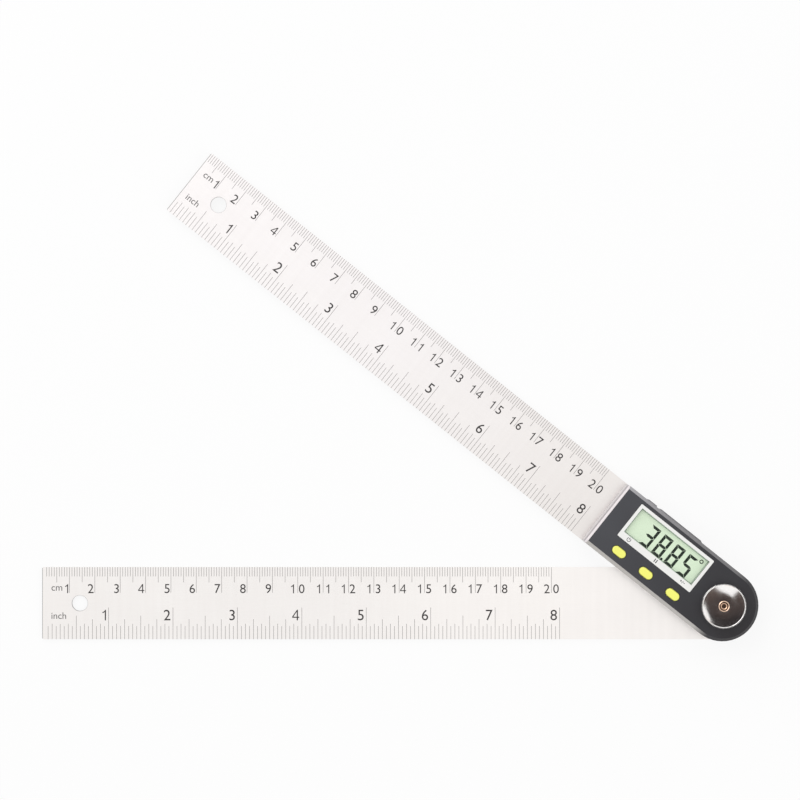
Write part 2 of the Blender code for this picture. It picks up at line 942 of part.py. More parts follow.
def button(name, place):
    """A key with a flange that keeps it under the roof."""
    frame = empty(f"button_{name}_axis", display_frame, (-place, button_across, flange_top))
    key_top_height = roof_top + button_proud - flange_top
    key = as_mesh(
        flat(
            f"button_{name}",
            frame,
            [stadium(0, 0, button_length, button_width)],
            -button_flange_thickness / 2,
            key_top_height,
        )
    )
    rim = as_mesh(
        flat(
            f"flange_{name}",
            frame,
            [stadium(0, 0, button_length + 2 * button_flange, button_width + 2 * button_flange)],
            -button_flange_thickness,
            0,
        )
    )
    soften(key, button_round, 2)
    shape(key, "UNION", [rim])
    finish(key, yellow, 0.4)


main_board()
chip_cap()
for name, place in button_places:
    tact_switch(name, place)
    button(name, place)
for number, (x, y) in enumerate(board_screw_places, 1):
    board_screw(number, x, y)


def battery_bay():
    """A U-shaped wall on the blade. The drawer slides between its sides, and the board lies on it."""
    outer = bay_opening_half + bay_wall
    back = tray_back - side_gap
    mouth = cavity_half - side_gap
    outline = [
        (-outer, mouth),
        (-outer, back - bay_back_wall),
        (outer, back - bay_back_wall),
        (outer, mouth),
        (bay_opening_half, mouth),
        (bay_opening_half, back),
        (-bay_opening_half, back),
        (-bay_opening_half, mouth),
    ]
    piece = flat("battery_bay", display_frame, [outline], inside_bottom, board_bottom - seat_gap)
    piece.location.x = -tray_centre
    finish(piece, black, 0.55)


def battery_tray():
    """The drawer: a floor and walls round the cell, and a bulged front with a nail grip."""
    tray = block(
        "battery_tray",
        tray_frame,
        (-tray_half, tray_half),
        (tray_back, cover_half - panel_thickness / 2),
        (inside_bottom, tray_wall_top),
    )
    bulged = cover_half + panel_bulge
    dip = cover_half - grip_dip
    grip_near = -tray_half - grip_gap
    grip_far = grip_near - grip_length
    outline = [
        (-panel_near, panel_inner),
        (-panel_near, cover_half),
        (-panel_near - panel_slope, bulged),
        (-tray_half + panel_slope, bulged),
        (-tray_half, dip),
        (grip_near, dip),
        (grip_near - grip_dip, bulged),
        (grip_far, bulged),
        (-panel_far, cover_half),
        (-panel_far, panel_inner),
    ]
    front = as_mesh(flat("drawer_front", tray_frame, [outline], panel_bottom, panel_top))
    pocket = rod(
        "cell_pocket",
        tray_frame,
        0,
        cell_across,
        cell_radius + cell_play,
        inside_bottom + tray_floor,
        panel_top + overrun,
        turned_steps,
    )
    notch = block(
        "contact_notch",
        tray_frame,
        (-notch_half, notch_half),
        (tray_back - overrun, cell_across - cell_radius + overrun),
        (inside_bottom - overrun, tray_wall_top + overrun),
    )
    shape(tray, "UNION", [front])
    shape(tray, "DIFFERENCE", [pocket, notch])
    finish(tray, charcoal, 0.5)


def coin_cell():
    """The can below and the smaller pole above, with a step between them."""
    pole = cell_radius * cell_face_share
    profile = [
        (0, cell_top),
        (pole, cell_top),
        (pole, cell_top - cell_step),
        (cell_radius - cell_step, cell_top - cell_step),
        (cell_radius, cell_top - 2 * cell_step),
        (cell_radius, cell_bottom + cell_step),
        (cell_radius - cell_step, cell_bottom),
        (0, cell_bottom),
    ]
    cell = turned("coin_cell", tray_frame, profile)
    cell.location.y = cell_across
    finish(cell, polished_steel, 0.25, 1.0)


def contact_positive():
    """A bowed strip between the bay's back wall and the cell's rim."""
    behind = tray_back - side_gap + film_gap
    front = cell_across - cell_radius - seat_gap - strip_thickness
    bow = front - behind
    steps = [i / 4 - 1 for i in range(9)]
    near = [(share * positive_half_length, behind + bow * (1 - share**2)) for share in steps]
    outline = near + [(x, y + strip_thickness) for x, y in reversed(near)]
    middle = (cell_bottom + cell_top) / 2
    bottom = middle - positive_height / 2
    piece = flat("contact_positive", display_frame, [outline], bottom, board_bottom - film_gap)
    piece.location.x = -tray_centre
    finish(piece, gold, 0.3, 1.0)


def contact_negative():
    """A leaf under the board that slopes down to the cell's face."""
    high = board_bottom - film_gap
    low = cell_top + film_gap
    start = cell_across + negative_length / 2
    end = cell_across - negative_length / 2
    outline = [
        (start, high),
        (start, high - negative_thickness),
        (cell_across + negative_thickness, low),
        (cell_across - negative_thickness, low),
        (end, high - negative_thickness),
        (end, high),
        (cell_across - negative_thickness, low + negative_thickness),
        (cell_across + negative_thickness, low + negative_thickness),
    ]
    piece = flat("contact_negative", display_frame, [outline], -negative_half_width, negative_half_width)
    piece.location = (-tray_centre, 0, 0)
    piece.rotation_euler = (math.pi / 2, 0, math.pi / 2)
    finish(piece, gold, 0.3, 1.0)


battery_bay()
battery_tray()
coin_cell()
contact_positive()
contact_negative()


def clamp_washer():
    bottom = roof_top - clamp_washer_pocket + film_gap
    piece = washer(
        "clamp_washer",
        knob_frame,
        hub_radius + side_gap,
        clamp_washer_radius,
        bottom,
        bottom + clamp_washer_thickness,
    )
    finish(piece, polished_steel, 0.3, 1.0)


def lock_knob():
    """A dished cap with a knurled rim, an eye in its centre and a threaded hub below."""
    centre = knob_top - dish_depth
    rim = knob_radius - knob_chamfer
    bore = thread_radius + running_gap
    profile = [
        (0, centre - dimple_depth + eye_rise),
        (dimple_radius - eye_rise, centre - dimple_depth + eye_rise),
        (dimple_radius, centre + eye_rise),
        (eye_radius - eye_rise, centre + eye_rise),
        (eye_radius, centre),
        (rim - knob_chamfer, knob_top - rim_step),
        (rim, knob_top),
        (knob_radius, knob_top - knob_chamfer),
        (knob_radius, knob_bottom + knob_chamfer),
        (rim, knob_bottom),
        (hub_radius, knob_bottom),
        (hub_radius, hub_bottom),
        (bore, hub_bottom),
        (bore, bore_top),
        (0, bore_top),
    ]
    knob = as_mesh(turned("lock_knob", knob_frame, profile, knob_steps))
    for vertex in knob.data.vertices:
        radius = math.hypot(vertex.co.x, vertex.co.y)
        step = round(math.atan2(vertex.co.y, vertex.co.x) / (2 * math.pi) * knob_steps)
        if radius > rim + knob_chamfer / 2 and step % 2:
            vertex.co.x *= 1 - knurl_depth / radius
            vertex.co.y *= 1 - knurl_depth / radius
    finish(knob, polished_steel, 0.12, 1.0)


clamp_washer()
lock_knob()
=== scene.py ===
# %% [markdown]
# # A digital angle finder, dressed for its picture
#
# The tool is two steel rulers on one pivot. The upper ruler carries a dark housing with a display, three
# yellow keys and a battery drawer, and a chrome knob on the pivot locks the angle.
#
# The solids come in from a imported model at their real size. Nothing here moves them. These cells give every
# surface its finish, and add what is too fine for the solids: etched scales, numerals, display segments,
# signs over the keys, rounded keys and the knurled knob.

# %% The frame and the box it fills
import json
import math

import bmesh
import bpy
from mathutils import Matrix, Vector


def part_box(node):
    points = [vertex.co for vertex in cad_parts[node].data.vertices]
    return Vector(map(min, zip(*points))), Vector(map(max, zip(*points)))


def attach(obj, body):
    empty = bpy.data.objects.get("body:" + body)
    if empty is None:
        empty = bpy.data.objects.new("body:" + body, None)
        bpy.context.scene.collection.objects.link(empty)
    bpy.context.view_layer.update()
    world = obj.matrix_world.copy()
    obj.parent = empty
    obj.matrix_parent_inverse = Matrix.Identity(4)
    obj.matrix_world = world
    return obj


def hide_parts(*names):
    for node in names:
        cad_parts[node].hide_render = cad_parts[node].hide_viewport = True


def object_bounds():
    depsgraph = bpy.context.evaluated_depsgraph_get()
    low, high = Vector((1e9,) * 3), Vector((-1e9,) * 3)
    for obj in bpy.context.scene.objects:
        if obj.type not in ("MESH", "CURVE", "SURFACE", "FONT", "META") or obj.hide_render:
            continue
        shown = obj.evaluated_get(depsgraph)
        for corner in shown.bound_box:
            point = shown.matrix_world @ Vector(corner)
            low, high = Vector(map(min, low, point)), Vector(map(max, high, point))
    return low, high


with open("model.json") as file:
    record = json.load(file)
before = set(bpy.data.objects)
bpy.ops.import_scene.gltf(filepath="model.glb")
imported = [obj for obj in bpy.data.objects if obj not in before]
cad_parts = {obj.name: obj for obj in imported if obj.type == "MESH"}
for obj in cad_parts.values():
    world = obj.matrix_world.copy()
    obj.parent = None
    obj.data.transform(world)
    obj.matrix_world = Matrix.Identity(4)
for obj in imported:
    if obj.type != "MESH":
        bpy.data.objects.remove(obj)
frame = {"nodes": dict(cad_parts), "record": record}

cad_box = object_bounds()
record = frame["record"]

# %% [markdown]
# ## Where things are
#
# Every place is read off the solids, so the dressing follows them. The base ruler lies along -X. The
# display ruler lies at an angle, which the direction of its outer edge gives. The display arm's own frame
# has +X towards the pivot and +Y towards the centimetre edge, so a drawing made in it reads as the tool
# reads.

# %% The two arms
mm = 0.001
base_low, base_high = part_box("base_blade")
blade_half = base_high.y
tip = base_low.x
base_top = base_high.z
display_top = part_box("display_blade")[1].z
edge_direction = next(m["axis"] for m in record["mounts"] if m["name"] == "display_outer_edge")
rest_angle = math.atan2(edge_direction[0], edge_direction[1])
base_arm = Matrix.Identity(4)
display_arm = Matrix.Rotation(-rest_angle, 4, "Z")
print("angle between the arms:", round(math.degrees(rest_angle), 2), "degrees")


def arm_box(node):
    """A display arm node's lowest and highest corners in the arm's own frame."""
    to_arm = display_arm.inverted()
    corners = [to_arm @ v.co for v in frame["nodes"][node].data.vertices]
    low = Vector([min(c[i] for c in corners) for i in range(3)])
    high = Vector([max(c[i] for c in corners) for i in range(3)])
    return low, high


# %% [markdown]
# ## Finishes
#
# A finish is a small tree of nodes. Written out by hand, such a tree is long, so three helpers keep it
# short. The first, `Wire`, wraps one output socket and turns Python arithmetic into Math nodes.

# %% Wire
class Wire:
    """One output socket. Arithmetic on it adds Math nodes, also with a number on the left."""

    def __init__(self, finish, socket):
        self.finish = finish
        self.socket = socket

    def maths(self, operation, *values):
        return self.finish.node("ShaderNodeMath", {"operation": operation}, dict(enumerate(values)))

    def __add__(self, other):
        return self.maths("ADD", self, other)

    def __sub__(self, other):
        return self.maths("SUBTRACT", self, other)

    def __rsub__(self, other):
        return self.maths("SUBTRACT", other, self)

    def __mul__(self, other):
        return self.maths("MULTIPLY", self, other)

    def __gt__(self, other):
        return self.maths("GREATER_THAN", self, other)

    def __lt__(self, other):
        return self.maths("LESS_THAN", self, other)

    def __abs__(self):
        return self.maths("ABSOLUTE", self)

    __radd__ = __add__
    __rmul__ = __mul__


print("wire helper ready")

# %% [markdown]
# `Nodes` adds any other node to a tree: its settings first, then its inputs. An input is either a wire,
# which gets a link, or a value, which is written on the socket. The room's light uses it as well as the
# materials.

# %% Nodes
class Nodes:
    """A node tree, of a material or of the world."""

    def __init__(self, tree):
        self.tree = tree

    def node(self, kind, settings=None, inputs=None, output=0):
        node = self.tree.nodes.new(kind)
        for name, value in (settings or {}).items():
            setattr(node, name, value)
        for key, value in (inputs or {}).items():
            self.plug(node.inputs[key], value)
        return Wire(self, node.outputs[output])

    def plug(self, socket, value):
        if isinstance(value, Wire):
            self.tree.links.new(value.socket, socket)
        else:
            socket.default_value = value

    def seen_directly(self):
        """1 for what the camera sees, also by way of metal and glass, and 0 for light on the object."""
        rays = [
            self.node("ShaderNodeLightPath", output=f"Is {kind} Ray")
            for kind in ("Camera", "Glossy", "Transmission")
        ]
        return rays[0].maths("MINIMUM", rays[0] + rays[1] + rays[2], 1.0)


print("node helper ready")

# %% [markdown]
# `Finish` is the tree of a material. Its patterns are measured on the object itself, in real sizes, so they
# stay on the surface when an arm turns. Colours are mixed by Mix nodes, because a Math node would turn them
# grey.

# %% Finish
class Finish(Nodes):
    """A material with one Principled surface."""

    def __init__(self, name, metallic=0.0):
        self.material = bpy.data.materials.new(name)
        self.material.use_nodes = True
        super().__init__(self.material.node_tree)
        self.surface = self.tree.nodes["Principled BSDF"]
        self.set("Metallic", metallic)

    def set(self, name, value):
        self.plug(self.surface.inputs[name], value)

    def place(self, turn=0.0, size=(1, 1, 1)):
        """The point on the object, turned into an arm's frame and measured in steps of the given size."""
        point = self.node("ShaderNodeTexCoord", output="Object")
        inputs = {"Vector": point, "Rotation": (0, 0, turn), "Scale": size}
        return self.node("ShaderNodeMapping", {"vector_type": "TEXTURE"}, inputs)

    def flat_place(self, turn=0.0):
        """The same point with its height left out, so that distances are measured on the flat."""
        inputs = {0: self.place(turn), 1: (1, 1, 0)}
        return self.node("ShaderNodeVectorMath", {"operation": "MULTIPLY"}, inputs)

    def axis(self, place, letter):
        return self.node("ShaderNodeSeparateXYZ", None, {0: place}, letter)

    def noise(self, place, detail=2.0):
        inputs = {"Vector": place, "Scale": 1.0, "Detail": detail}
        return self.node("ShaderNodeTexNoise", None, inputs, "Fac")

    def grains(self, step, detail=2.0, turn=0.0):
        """Noise that is as long as it is wide."""
        return self.noise(self.place(turn, (step, step, step)), detail)

    def lathe_rings(self, step, distortion, detail):
        """Rings round the pivot, as a lathe leaves them."""
        settings = {"wave_type": "RINGS", "rings_direction": "Z"}
        place = self.place(0.0, (step, step, step))
        inputs = {"Vector": place, "Scale": 1.0, "Distortion": distortion, "Detail": detail}
        return self.node("ShaderNodeTexWave", settings, inputs, "Fac")

    def fade(self, value, start, stop):
        """0 where the value is at the start, 1 where it is at the stop."""
        inputs = {"Value": value, "From Min": start, "From Max": stop, "To Min": 0.0, "To Max": 1.0}
        return self.node("ShaderNodeMapRange", {"clamp": True}, inputs)

    def blend(self, share, first, second):
        inputs = {0: share, 6: self.colour(first), 7: self.colour(second)}
        return self.node("ShaderNodeMix", {"data_type": "RGBA"}, inputs, 2)

    def colour(self, value):
        return value if isinstance(value, Wire) else (*value, 1)

    def bump(self, height, distance, strength):
        inputs = {"Height": height, "Distance": distance, "Strength": strength}
        self.set("Normal", self.node("ShaderNodeBump", None, inputs))


print("finish helper ready")

# %% [markdown]
# ## Brushed steel
#
# The rulers are stainless strip, brushed along their length. The brush leaves hair-fine grooves, far longer
# than they are wide, so the noise is stretched the same way: steps of 9 mm along the arm and a tenth of a
# millimetre across. A second, broad noise gives the slight clouds that rolled strip has, and a third the
# faint bands across it where the rollers chattered. The tones also drift from the housing to the tip, by a
# little, and each ruler has its own. Along the sheared tip and round the punched hole, a narrow dark edge is
# painted as shade on their walls.

# %% Steel finishes
hole_radius = 3.1 * mm
hole_box = next(o["box_m"] for o in record["physics"]["openings"] if o["name"] == "base_hang_hole")
hole_x = (hole_box[0][0] + hole_box[1][0]) / 2
tip_shade_width = 0.22 * mm
hole_shade_width = 0.08 * mm
edge_shade = (0.34, 0.33, 0.325)
groove_step = (9 * mm, 0.11 * mm, 0.11 * mm)
scratch_step = (2.5 * mm, 0.05 * mm, 0.05 * mm)
cloud_step = (46 * mm, 17 * mm, 17 * mm)
chatter_step = (2.2 * mm, 60 * mm, 60 * mm)
drift_start = -70 * mm
drift_end = -165 * mm


def brushed_steel(name, turn, near, far):
    """Steel that drifts from one pair of tones by the housing to another at the tip."""
    finish = Finish(name, metallic=1.0)
    groove = finish.noise(finish.place(turn, groove_step), 3.0)
    scratch = finish.noise(finish.place(turn, scratch_step), 1.0)
    cloud = finish.noise(finish.place(turn, cloud_step), 1.0)
    chatter = finish.noise(finish.place(turn, chatter_step), 1.0)
    tone = cloud * 0.4 + groove * 0.35 + chatter * 0.35 - 0.05
    spot = finish.flat_place(turn)
    centre = {0: spot, 1: (hole_x, 0, 0)}
    from_hole = finish.node("ShaderNodeVectorMath", {"operation": "DISTANCE"}, centre, "Value")
    # The edge mask marks painted shade along the tip and round the hole, and the edge is also a little
    # rougher.
    sheared = finish.axis(spot, "X") < tip + tip_shade_width
    edge = sheared.maths("MAXIMUM", sheared, from_hole < hole_radius + hole_shade_width)
    outward = finish.fade(finish.axis(spot, "X"), drift_start, drift_end)
    steel = finish.blend(outward, finish.blend(tone, *near), finish.blend(tone, *far))
    finish.set("Base Color", finish.blend(edge, steel, edge_shade))
    finish.set("Roughness", 0.24 + groove * 0.16 + edge * 0.1)
    finish.bump(groove * 0.7 + scratch * 0.3, 0.004 * mm, 0.5)
    return finish.material


def turned_metal(name, pale, dark, roughness):
    """A small turned piece, with fine rings and a slight stain."""
    finish = Finish(name, metallic=1.0)
    rings = finish.lathe_rings(0.09 * mm, 0.4, 1.0)
    stain = finish.grains(3 * mm)
    finish.set("Base Color", finish.blend(stain, dark, pale))
    finish.set("Roughness", roughness + stain * 0.08)
    finish.bump(rings, 0.002 * mm, 0.3)
    return finish.material


grey_steel = ((0.78, 0.74, 0.715), (0.905, 0.87, 0.85))
plain_steel = ((0.805, 0.77, 0.75), (0.935, 0.91, 0.89))
warm_steel = ((0.86, 0.825, 0.80), (0.99, 0.955, 0.93))
pale_steel = ((0.84, 0.80, 0.795), (0.965, 0.94, 0.935))
base_steel = brushed_steel("base_blade_steel", 0.0, warm_steel, plain_steel)
display_steel = brushed_steel("display_blade_steel", -rest_angle, grey_steel, pale_steel)
bright_steel = turned_metal("bright_steel", (0.74, 0.72, 0.70), (0.60, 0.58, 0.56), 0.2)
print("steel finishes:", base_steel.name, display_steel.name, bright_steel.name)

# %% [markdown]
# ## Moulded plastic
#
# Moulded plastic is spark-textured: up close it is a field of tiny pits, which a fine noise draws as bumps,
# and its colour drifts a little. One function serves for every piece of a single colour.

# %% Plain plastic
def plain_plastic(name, colour, roughness, pit=0.25 * mm, depth=0.012 * mm):
    finish = Finish(name)
    pits = finish.grains(pit)
    drift = finish.grains(9 * mm)
    shade = tuple(0.92 * channel for channel in colour)
    finish.set("Base Color", finish.blend(drift, shade, colour))
    finish.set("Roughness", roughness + pits * 0.12)
    finish.bump(pits, depth, 0.4)
    return finish.material


print("plain plastic ready")

# %% [markdown]
# The housing is nearly black round the pivot, which is painted shade, and charcoal towards the tip. Its
# chamfers are smoother, and the light they catch is painted into their colour as sheen: a grey on the
# straight sides, paler on the lower of the two and towards the tip on the upper one, which fades into the
# dark shell round the pivot. The far end has the palest painted sheen, with the wall below it painted light
# too, and a painted shadow line runs along its outermost edge. The drawer's proud edge carries the same
# painted sheen. Which of these a point belongs to follows from where it lies in the arm's frame: each test
# gives 0 or 1, and the tests choose between the colours.

# %% Housing plastic
chamfer = 1.3 * mm
bevel_drop = 1.85 * mm
far_rim_shadow_width = 0.5 * mm
fade_start = 2.5 * mm
fade_end = -4 * mm
# These tones are painted light: sheen on the chamfers, on the far end and its wall, a shadow line at the
# outermost far edge, and shade on the shell by the pivot.
housing_tones = {
    "shell by the pivot": (0.007, 0.005, 0.007),
    "shell at the tip": (0.066, 0.068, 0.078),
    "upper side by the pivot": (0.15, 0.145, 0.15),
    "upper side at the tip": (0.40, 0.39, 0.41),
    "lower side": (0.52, 0.50, 0.475),
    "far bevel": (0.78, 0.73, 0.74),
    "far rim": (0.42, 0.39, 0.40),
    "end wall": (0.58, 0.55, 0.555),
}


def satin_band(finish, along, across, height):
    """1 where sheen is painted: on the chamfers of the straight sides, on the whole far end, and on the
    drawer's proud edge.
    """
    low, high = arm_box("housing_cover")
    side = abs(across) > high.y - chamfer
    far_end = along < low.x + chamfer
    raised = far_end.maths("MAXIMUM", far_end, height > high.z - bevel_drop)
    straight = finish.fade(along, fade_start, fade_end)
    band = side.maths("MAXIMUM", side, far_end) * raised * straight
    below_top = height < high.z - 0.01 * mm
    proud = across > high.y + 0.02 * mm
    return band.maths("MAXIMUM", band * below_top, proud)


def satin_tone(finish, along, across, height, towards_tip):
    """The painted sheen of the chamfers: a grey for each side, paler ones at the far end, and a painted
    shadow line along its outermost edge.
    """
    low, high = arm_box("housing_cover")
    tones = housing_tones
    upper_sheen_ends = (tones["upper side by the pivot"], tones["upper side at the tip"])
    upper_sheen = finish.blend(towards_tip * towards_tip, *upper_sheen_ends)
    side_sheen = finish.blend(across < 0.0, upper_sheen, tones["lower side"])
    far_rim_shadow = along < low.x + far_rim_shadow_width
    far_bevel_sheen = finish.blend(far_rim_shadow, tones["far bevel"], tones["far rim"])
    far_end_sheen = finish.blend(height < high.z - bevel_drop, far_bevel_sheen, tones["end wall"])
    return finish.blend(along < low.x + chamfer, side_sheen, far_end_sheen)


def housing_plastic():
    finish = Finish("housing_plastic")
    finish.set("Specular IOR Level", 0.4)
    point = finish.place(-rest_angle)
    along, across, height = (finish.axis(point, letter) for letter in "XYZ")
    towards_tip = along * (1 / arm_box("housing_cover")[0].x)
    band = satin_band(finish, along, across, height)
    chamfer_sheen = satin_tone(finish, along, across, height, towards_tip)
    drift = finish.noise(finish.place(-rest_angle, (30 * mm, 14 * mm, 14 * mm)))
    # The shell darkens towards the pivot as painted shade, with a random drift of tone mixed in.
    shell_ends = (housing_tones["shell by the pivot"], housing_tones["shell at the tip"])
    shell = finish.blend(drift * 0.4 + towards_tip * 0.6, *shell_ends)
    pits = finish.grains(0.22 * mm)
    # The chamfer band lays its painted sheen over the shell colour, and it is also a little smoother.
    finish.set("Base Color", finish.blend(band, shell, chamfer_sheen))
    finish.set("Roughness", 0.46 + pits * 0.1 - band * 0.12)
    finish.bump(pits, 0.012 * mm, 0.35)
    return finish.material


charcoal = housing_plastic()
print("housing plastic:", len(charcoal.node_tree.nodes), "nodes")

# %% [markdown]
# The other plastics differ in colour, gloss and pits. The keys and the bezel are polished mouldings with
# shallow pits, the rubber strip is dull, and the drop of epoxy over the chip has broad, soft waves.

# %% Plastics of one colour
black_plastic = plain_plastic("black_plastic", (0.022, 0.022, 0.024), 0.5)
white_film = plain_plastic("white_film", (0.82, 0.83, 0.80), 0.4)
bezel_white = plain_plastic("bezel_white", (0.93, 0.925, 0.905), 0.3, depth=0.003 * mm)
key_yellow = plain_plastic("key_yellow", (1.0, 1.0, 0.2), 0.36, depth=0.004 * mm)
black_rubber = plain_plastic("contact_rubber", (0.02, 0.02, 0.02), 0.75)
black_epoxy = plain_plastic("black_epoxy", (0.018, 0.018, 0.02), 0.2, pit=1.2 * mm, depth=0.03 * mm)
print("plastic finishes ready")

# %% [markdown]
# ## Inks
#
# The scales are etched and filled with ink, a little uneven as etching is: grey in the thin lines and
# darker in the numerals. The display's segments are a green-black that hardly shines.

# %% Inks
def ink(name, colour, roughness=0.5, gloss=0.3):
    finish = Finish(name)
    finish.set("Specular IOR Level", gloss)
    wear = finish.grains(0.3 * mm, 3.0)
    worn = tuple(channel * 1.6 for channel in colour)
    finish.set("Base Color", finish.blend(wear, colour, worn))
    finish.set("Roughness", roughness + wear * 0.1)
    return finish.material


line_ink = ink("line_ink", (0.16, 0.15, 0.148))
unit_ink = ink("unit_ink", (0.10, 0.095, 0.095))
scale_ink = ink("scale_ink", (0.030, 0.027, 0.027))
label_ink = ink("label_ink", (0.05, 0.05, 0.055))
segment_ink = ink("segment_ink", (0.004, 0.010, 0.005), 0.4, 0.1)
# The line round the display is painted shadow, where the window's edges shade the glass.
window_shadow_colour = ink("display_frame_ink", (0.30, 0.40, 0.31), 0.4)
print("inks ready")

# %% [markdown]
# ## Brass, board and glass
#
# Inside, the bush is brass and the contacts are bronze. The circuit board shows its copper tracks under the
# green mask as a faint grid: a brick pattern whose joints are the tracks. The display is a pale green
# reflector behind glass. It is given a faint glow, painted light that lifts the shade in its recess, also
# near its edges. The window over it is almost clear.

# %% Brass, board and glass
black, white = (0, 0, 0, 1), (1, 1, 1, 1)


def printed_board():
    finish = Finish("printed_board")
    place = finish.place(-rest_angle, (1.6 * mm, 1.6 * mm, 1.6 * mm))
    inputs = {"Vector": place, "Scale": 1.0, "Mortar Size": 0.06}
    inputs.update({"Color1": black, "Color2": black, "Mortar": white})
    tracks = finish.node("ShaderNodeTexBrick", {"offset": 0.5}, inputs, "Fac")
    finish.set("Base Color", finish.blend(tracks, (0.02, 0.15, 0.05), (0.05, 0.30, 0.11)))
    finish.set("Roughness", 0.42 - tracks * 0.1)
    finish.bump(tracks, 0.02 * mm, 0.5)
    return finish.material


def display_glass():
    """The pale green reflector, a touch deeper towards the pivot, with a faint glow of painted light."""
    low, high = arm_box("lcd_panel")
    finish = Finish("display_glass")
    finish.set("Specular IOR Level", 0.25)
    along = finish.axis(finish.place(-rest_angle), "X")
    along_share = (along - low.x) * (1 / (high.x - low.x))
    speckle = finish.grains(0.3 * mm, 1.0, -rest_angle)
    tone = along_share * 0.7 + speckle * 0.3
    finish.set("Base Color", finish.blend(tone, (0.73, 0.86, 0.66), (0.71, 0.85, 0.645)))
    # This emission is painted light: the reflector glows though it is no lamp.
    finish.set("Emission Color", (0.70, 0.86, 0.64, 1))
    finish.set("Emission Strength", 0.1)
    finish.set("Roughness", 0.22 + speckle * 0.05)
    return finish.material


def clear_window():
    finish = Finish("clear_window")
    finish.set("Specular IOR Level", 0.25)
    haze = finish.grains(4 * mm)
    finish.set("Base Color", finish.blend(haze, (0.36, 0.42, 0.36), (0.44, 0.50, 0.44)))
    finish.set("Roughness", 0.04 + haze * 0.03)
    finish.set("Alpha", 0.02 + haze * 0.02)
    return finish.material


bush_brass = turned_metal("bush_brass", (0.76, 0.58, 0.27), (0.62, 0.45, 0.19), 0.28)
contact_bronze = turned_metal("contact_bronze", (0.84, 0.66, 0.32), (0.70, 0.52, 0.22), 0.26)
board = printed_board()
reflector = display_glass()
window = clear_window()
print("materials so far:", len(bpy.data.materials))

# %% [markdown]
# ## Dressing the solids
#
# A solid whose shape is right stays as it is, and only gets its finish. One table says which finish goes on
# which pieces.

# %% Finishes on the solids
dressed = {
    base_steel: ["base_blade"],
    display_steel: ["display_blade"],
    bright_steel: [
        "pivot_stud", "retaining_ring", "clamp_washer", "coin_cell", "board_screw_1", "board_screw_2",
        "switch_power", "switch_hold", "switch_sign", "housing_screw_1", "housing_screw_2", "housing_screw_3",
        "housing_screw_4",
    ],
    charcoal: ["housing_cover", "battery_tray"],
    black_plastic: ["battery_bay"],
    white_film: ["friction_washer"],
    bezel_white: ["display_bezel"],
    key_yellow: ["button_power", "button_hold", "button_sign"],
    black_rubber: ["zebra_strip"],
    black_epoxy: ["chip_cap"],
    bush_brass: ["pivot_bushing"],
    contact_bronze: ["contact_positive", "contact_negative"],
    board: ["main_board", "rotor_disc"],
    reflector: ["lcd_panel"],
    window: ["display_window"],
}
for material, names in dressed.items():
    for name in names:
        slots = frame["nodes"][name].data.materials
        slots.clear()
        slots.append(material)
print("dressed solids:", sum(len(names) for names in dressed.values()))

# %% [markdown]
# ## Thin marks
#
# Etched lines and printed signs are only a hundredth of a millimetre thick. As real meshes they stay sharp
# at any distance, which a picture laid on the surface would not. `marks` takes boxes, and `flat_mesh` takes
# outlines: a filled flat curve turned into a mesh, so a ring can have its hole. `keep` puts either in place
# on its arm, and `printed` does both steps for signs on the display arm.

# %% Helpers for marks
mark_rise = 0.012 * mm
mark_sink = 0.03 * mm
weld_distance = 0.0005 * mm


def keep(name, mesh, arm, body, material):
    """Puts a mesh drawn in an arm's frame in place, with its finish, and lets it ride."""
    mesh.transform(arm)
    mesh.materials.clear()
    mesh.materials.append(material)
    piece = bpy.data.objects.new(name, mesh)
    bpy.context.scene.collection.objects.link(piece)
    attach(piece, body)
    return piece


def marks(name, boxes, top, arm, body, material):
    """Upright boxes from x, y ranges, all as one mesh that stands a little out of the surface."""
    work = bmesh.new()
    depth = mark_rise + mark_sink
    for (x0, x1), (y0, y1) in boxes:
        size = Matrix.Diagonal((x1 - x0, y1 - y0, depth, 1))
        middle = Matrix.Translation(((x0 + x1) / 2, (y0 + y1) / 2, top + mark_rise - depth / 2))
        bmesh.ops.create_cube(work, size=1, matrix=middle @ size)
    mesh = bpy.data.meshes.new(name)
    work.to_mesh(mesh)
    work.free()
    return keep(name, mesh, arm, body, material)


def flat_mesh(loops, top, depth):
    """A filled outline with holes, as a closed solid whose upper face is at a height."""
    curve = bpy.data.curves.new("outline", "CURVE")
    curve.dimensions = "2D"
    curve.fill_mode = "BOTH"
    curve.extrude = depth / 2
    for loop in loops:
        spline = curve.splines.new("POLY")
        spline.points.add(len(loop) - 1)
        for point, (x, y) in zip(spline.points, loop):
            point.co = (x, y, 0, 1)
        spline.use_cyclic_u = True
    return solid_from(curve, top - depth / 2)


def solid_from(curve, height):
    """The mesh of a filled curve or a text, its caps welded to its sides, lifted to a height."""
    holder = bpy.data.objects.new("holder", curve)
    bpy.context.scene.collection.objects.link(holder)
    bpy.context.view_layer.update()
    graph = bpy.context.evaluated_depsgraph_get()
    mesh = bpy.data.meshes.new_from_object(holder.evaluated_get(graph))
    bpy.data.objects.remove(holder)
    work = bmesh.new()
    work.from_mesh(mesh)
    bmesh.ops.remove_doubles(work, verts=work.verts, dist=weld_distance)
    bmesh.ops.translate(work, verts=work.verts, vec=(0, 0, height))
    work.to_mesh(mesh)
    work.free()
    return mesh


def joined(name, meshes):
    """All the meshes as one, and the single ones gone."""
    work = bmesh.new()
    for mesh in meshes:
        work.from_mesh(mesh)
        bpy.data.meshes.remove(mesh)
    whole = bpy.data.meshes.new(name)
    work.to_mesh(whole)
    work.free()
    return whole


def printed(name, outlines, top, material):
    """Signs printed on the display arm, each an outline with or without holes."""
    meshes = [flat_mesh(loops, top + mark_rise, mark_rise * 2) for loops in outlines]
    return keep(name, joined(name, meshes), display_arm, "display_arm", material)


